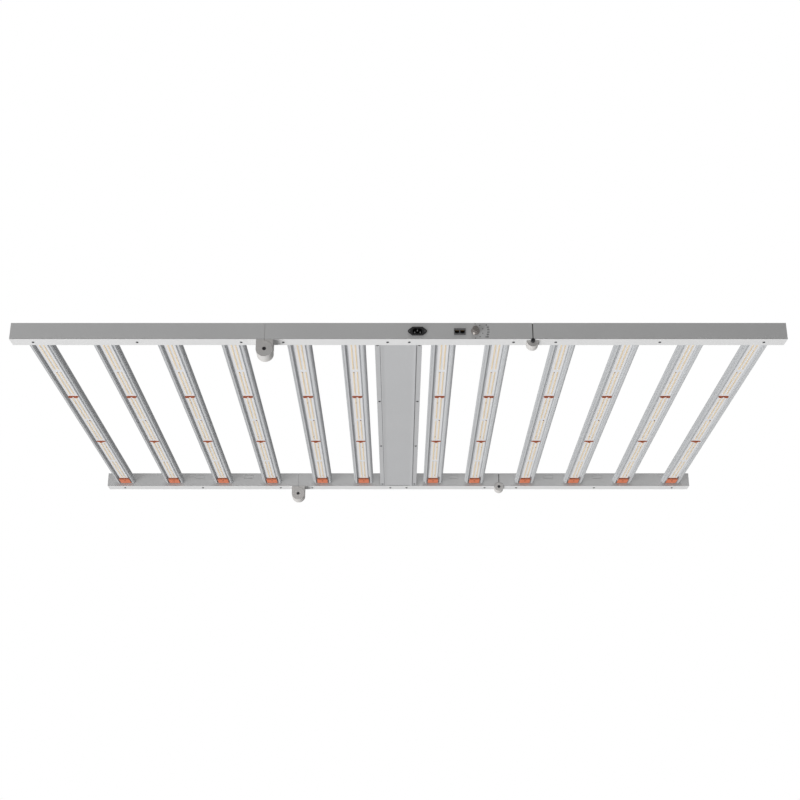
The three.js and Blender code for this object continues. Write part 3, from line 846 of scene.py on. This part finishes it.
class GROWLIGHT_OT_dial(bpy.types.Operator):
    """Marks and plain figures of the dimmer scale"""

    bl_idname = "growlight.dial"
    bl_label = "Dimmer scale"

    def execute(self, context):
        hardware = context.scene.growlight_hardware
        low, high = (Vector(c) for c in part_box("dimmer_knob"))
        centre = Vector(((low.x + high.x) / 2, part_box("front_beam_centre")[0][1], (low.z + high.z) / 2))
        marks, figures = [], []
        rows = ((0.0288, 0.0168), (0.032, 0.0103), (0.0336, 0.0036), (0.0336, -0.0032), (0.032, -0.0098),
                (0.0295, -0.0168))
        for step, (right, up) in enumerate(rows):
            angle = radians(90 - 36 * step)
            out = Vector((cos(angle), 0, sin(angle)))
            mark = prism([(-0.0014, -0.0009), (0.0014, -0.0009), (0.0014, 0.0009), (-0.0014, 0.0009)],
                         -0.00006, 0.00006)
            turn = Matrix.Rotation(pi / 2, 4, "X")
            marks.append(moved(mark, Matrix.Translation(centre + out * hardware.dial_radius) @ turn))
            figures.append(self.figure(str(step * 20), centre + Vector((right, 0, up)), hardware.dial_text))
        put("dimmer_scale_marks", merged(marks), "print_ink", "centre_section")
        put("dimmer_scale_figures", merged(figures), "print_ink", "centre_section")
        self.knob_face(low, high)
        return {"FINISHED"}

    def knob_face(self, low, high):
        """A dark spun disc on the knob's end, with a light pointer towards the first mark."""
        centre = ((low.x + high.x) / 2, low.y, (low.z + high.z) / 2)
        disc = lathe([(0, -0.0002), (0.0066, -0.0002), (0.0068, 0), (0.0068, 0.0006), (0, 0.0006)], 40, "Y")
        disc = moved(disc, Matrix.Translation((centre[0], centre[1] + 0.0007, centre[2])))
        put("dimmer_knob_disc", disc, "knob_disc", "dimmer")
        pointer = prism([(-0.0006, 0.0025), (0.0006, 0.0025), (0.0006, 0.0058), (-0.0006, 0.0058)],
                        -0.0002, 0.0002)
        pointer = softened(moved(pointer, Matrix.Translation((centre[0], centre[1] + 0.0007, centre[2]))
                                 @ Matrix.Rotation(pi / 2, 4, "X")), 0.0001)
        put("dimmer_knob_pointer", pointer, "pin_steel", "dimmer")

    def figure(self, text, place, high):
        curve = bpy.data.curves.new("figure", "FONT")
        curve.body = text
        curve.size = high
        curve.extrude = 0.00006
        curve.offset = 0.00012
        curve.align_x = "CENTER"
        curve.align_y = "CENTER"
        work = bpy.data.objects.new("figure.work", curve)
        bpy.context.scene.collection.objects.link(work)
        mesh = evaluated(work)
        bpy.data.objects.remove(work)
        return moved(mesh, Matrix.Translation(place) @ Matrix.Rotation(pi / 2, 4, "X"))


# ---------------------------------------------------------------- stage


def softbox(name, place, target, size, power):
    lamp = bpy.data.lights.new(name, "AREA")
    lamp.shape = "RECTANGLE"
    lamp.size, lamp.size_y = size
    lamp.energy = power
    obj = bpy.data.objects.new(name, lamp)
    obj.location = place
    obj.rotation_euler = (Vector(target) - Vector(place)).to_track_quat("-Z", "Y").to_euler()
    bpy.context.scene.collection.objects.link(obj)
    return obj


class GROWLIGHT_OT_stage(bpy.types.Operator):
    """Camera, softboxes, white surroundings and a pale floor"""

    bl_idname = "growlight.stage"
    bl_label = "Stage"

    def execute(self, context):
        stage = context.scene.growlight_stage
        _, near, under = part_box("front_bottom_plate_centre")[0]
        camera = bpy.data.cameras.new("camera")
        camera.lens = stage.lens
        camera.sensor_width = 36
        camera.shift_x = 0.002
        camera.clip_end = 60
        view = bpy.data.objects.new("camera", camera)
        view.location = (0, near - stage.distance, under - stage.below)
        view.rotation_euler = (pi / 2 + stage.pitch, 0, 0)
        context.scene.collection.objects.link(view)
        context.scene.camera = view
        sun = bpy.data.lights.new("key", "SUN")
        sun.energy = 2.8
        sun.angle = radians(28)
        key = bpy.data.objects.new("key", sun)
        key.rotation_euler = Vector((0.52, -0.03, 0.85)).to_track_quat("-Z", "Y").to_euler()
        context.scene.collection.objects.link(key)
        softbox("front_left", (-3.4, -3.4, -1.9), (0, -0.3, 0), (2.2, 2.2), 52)
        softbox("top", (0.5, -0.5, 3.2), (0, 0, 0), (3.5, 3.0), 100)
        self.floor(stage)
        self.world()
        context.scene.view_settings.view_transform = "Standard"
        return {"FINISHED"}

    def floor(self, stage):
        mesh = prism([(-20, -20), (20, -20), (20, 20), (-20, 20)], -stage.floor - 0.1, -stage.floor)
        floor = bpy.data.objects.new("floor", mesh)
        bpy.context.scene.collection.objects.link(floor)
        mat = surface("floor_white", (0.8, 0.8, 0.8), 0.7, 0.0, 0.02, (1, 1, 1), 0.05, 60)
        mesh.materials.append(mat)
        floor.visible_shadow = False

    def world(self):
        world = bpy.data.worlds.new("surroundings")
        world.use_nodes = True
        tree = world.node_tree
        tree.nodes.clear()
        link = tree.links.new
        out = tree.nodes.new("ShaderNodeOutputWorld")
        soft = node(tree, "ShaderNodeBackground", Strength=0.24)
        seen = node(tree, "ShaderNodeBackground", Strength=1.0)
        soft.inputs["Color"].default_value = (1, 1, 1, 1)
        seen.inputs["Color"].default_value = (1, 1, 1, 1)
        path = tree.nodes.new("ShaderNodeLightPath")
        shown = node(tree, "ShaderNodeMath")
        shown.operation = "MAXIMUM"
        link(path.outputs["Is Camera Ray"], shown.inputs[0])
        link(path.outputs["Is Transmission Ray"], shown.inputs[1])
        mix = tree.nodes.new("ShaderNodeMixShader")
        link(shown.outputs[0], mix.inputs[0])
        link(soft.outputs[0], mix.inputs[1])
        link(seen.outputs[0], mix.inputs[2])
        link(mix.outputs[0], out.inputs["Surface"])
        bpy.context.scene.world = world


# ---------------------------------------------------------------- panel and registration


class GROWLIGHT_PT_panel(bpy.types.Panel):
    """Lists the light's groups of pieces"""

    bl_idname = "GROWLIGHT_PT_panel"
    bl_label = "Grow Light"
    bl_space_type = "VIEW_3D"
    bl_region_type = "UI"
    bl_category = "Grow Light"

    def draw(self, context):
        scene = context.scene
        for group in (getattr(scene, name) for name in GROUPS):
            box = self.layout.box()
            for name in group.__annotations__:
                box.prop(group, name)
        for operator in OPERATORS:
            self.layout.operator(operator.bl_idname)


OPERATORS = (
    GROWLIGHT_OT_stage,
    GROWLIGHT_OT_metalwork,
    GROWLIGHT_OT_bars,
    GROWLIGHT_OT_seams,
    GROWLIGHT_OT_leds,
    GROWLIGHT_OT_clips,
    GROWLIGHT_OT_screws,
    GROWLIGHT_OT_dial,
)
GROUPS = {
    "growlight_paint": GrowLightPaint,
    "growlight_bars": GrowLightBars,
    "growlight_leds": GrowLightLeds,
    "growlight_hardware": GrowLightHardware,
    "growlight_stage": GrowLightStage,
}


def register():
    for cls in (*GROUPS.values(), *OPERATORS, GROWLIGHT_PT_panel):
        bpy.utils.register_class(cls)
    for name, cls in GROUPS.items():
        setattr(bpy.types.Scene, name, bpy.props.PointerProperty(type=cls))


def unregister():
    for name in GROUPS:
        delattr(bpy.types.Scene, name)
    for cls in (GROWLIGHT_PT_panel, *reversed(OPERATORS), *GROUPS.values()):
        bpy.utils.unregister_class(cls)


def main():
    register()
    for operator in OPERATORS:
        group, name = operator.bl_idname.split(".")
        getattr(getattr(bpy.ops, group), name)()


if __name__ == "__main__":
    main()
